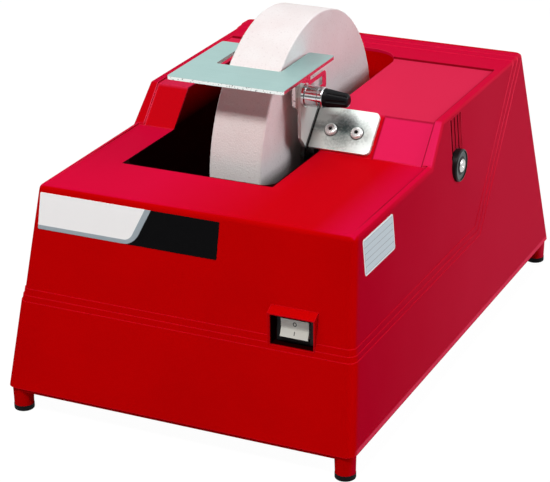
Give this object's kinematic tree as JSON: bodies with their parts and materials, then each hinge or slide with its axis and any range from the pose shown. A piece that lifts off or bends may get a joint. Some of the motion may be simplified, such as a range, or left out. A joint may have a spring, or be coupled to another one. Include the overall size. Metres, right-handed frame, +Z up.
{
  "type": "wet grinding sharpener",
  "caption": "Wet grinding sharpener: tapered red moulded casing with a slow stone wheel in a water well, a clamped U-shaped tool rest, a rocker switch and a worm drive motor inside.",
  "frame": {"origin": "on the floor under the middle of the casing", "axes": "+X to the right along the axle, +Y to the rear, +Z up"},
  "size_m": [0.2632, 0.408, 0.245],
  "materials": {
    "red_plastic": "smooth moulded",
    "trough_plastic": "smooth moulded",
    "black_plastic": "fine grain",
    "pale_plastic": "smooth moulded",
    "black_rubber": "matt",
    "grinding_stone": "bonded grit",
    "paper": "paper",
    "steel": "turned",
    "zinc_plate": "bright zinc plating",
    "satin_zinc": "satin zinc plating",
    "dark_steel": "sintered",
    "chrome_steel": "polished",
    "bronze": "turned",
    "copper": "enamelled wire",
    "cast_aluminium": "as cast",
    "core_steel": "stacked sheet",
    "grey_paint": "satin"
  },
  "bodies": {
    "machine": {"axle_bush_left": "bronze", "axle_bush_right": "bronze", "axle_dust_ring": "black_rubber", "axle_seal": "black_rubber", "base_plate": "black_plastic", "base_screws": "steel", "bracket_screws": "zinc_plate", "cable_gland": "black_plastic", "capacitor": "cast_aluminium", "capacitor_clip": "steel", "cradle_screws": "steel", "drive_cradle": "grey_paint", "foot_pads": "black_rubber", "front_bearing": "steel", "gearbox_cover": "cast_aluminium", "gearbox_housing": "cast_aluminium", "gearbox_screws": "steel", "gland_nut": "black_plastic", "main_casing": "red_plastic", "motor_front_shield": "cast_aluminium", "motor_rear_shield": "cast_aluminium", "motor_tie_bolts": "steel", "rear_bearing": "steel", "rest_bracket": "zinc_plate", "side_bush": "black_plastic", "side_bush_sleeve": "dark_steel", "stator_core": "core_steel", "stator_windings": "copper", "switch_body": "black_plastic", "switch_terminals": "bronze", "terminal_block": "pale_plastic", "trough_screws": "steel", "water_trough": "trough_plastic", "wiring_loom": "black_rubber", "worm_bush": "bronze"},
    "wheel_spindle": {"grinding_wheel": "grinding_stone", "wheel_blotters": "paper", "inner_flange": "steel", "outer_flange": "steel", "wheel_nut": "steel", "wheel_axle": "steel", "worm_wheel_key": "steel", "water_slinger": "black_rubber", "worm_wheel": "bronze"},
    "motor_rotor": {"worm_shaft": "steel", "rotor_core": "core_steel", "cooling_fan": "black_plastic"},
    "rocker": {"switch_rocker": "pale_plastic"},
    "clamp_stud": {"clamp_bolt": "zinc_plate", "clamp_washer": "zinc_plate"},
    "rest": {"tool_rest": "satin_zinc"},
    "clamp_handle": {"handle_hub": "chrome_steel", "handle_grip": "black_plastic"}
  },
  "joints": [
    {"name": "wheel_spin", "type": "hinge", "parent": "machine", "child": "wheel_spindle", "pos_m": [-0.0096, 0.016, 0.145], "axis": [1, 0, 0], "continuous": true},
    {"name": "motor_spin", "type": "hinge", "parent": "machine", "child": "motor_rotor", "pos_m": [0.075, -0.075, 0.111], "axis": [0, 1, 0], "continuous": true},
    {"name": "switch_rock", "type": "hinge", "parent": "machine", "child": "rocker", "pos_m": [0.0815, -0.1769, 0.0934], "axis": [1, 0, 0], "range_deg": [0, 16]},
    {"name": "rest_tilt", "type": "hinge", "parent": "machine", "child": "clamp_stud", "pos_m": [0.0194, -0.0325, 0.2], "axis": [1, 0, 0], "range_deg": [-15, 15]},
    {"name": "rest_slide", "type": "slide", "parent": "clamp_stud", "child": "rest", "axis": [0, -1, 0], "range_m": [0, 0.032]},
    {"name": "handle_turn", "type": "hinge", "parent": "clamp_stud", "child": "clamp_handle", "pos_m": [0.03, -0.0325, 0.2], "axis": [1, 0, 0], "range_deg": [0, 180]}
  ],
  "couplings": [
    {"joint": "motor_spin", "follows": "wheel_spin", "ratio": -12}
  ]
}
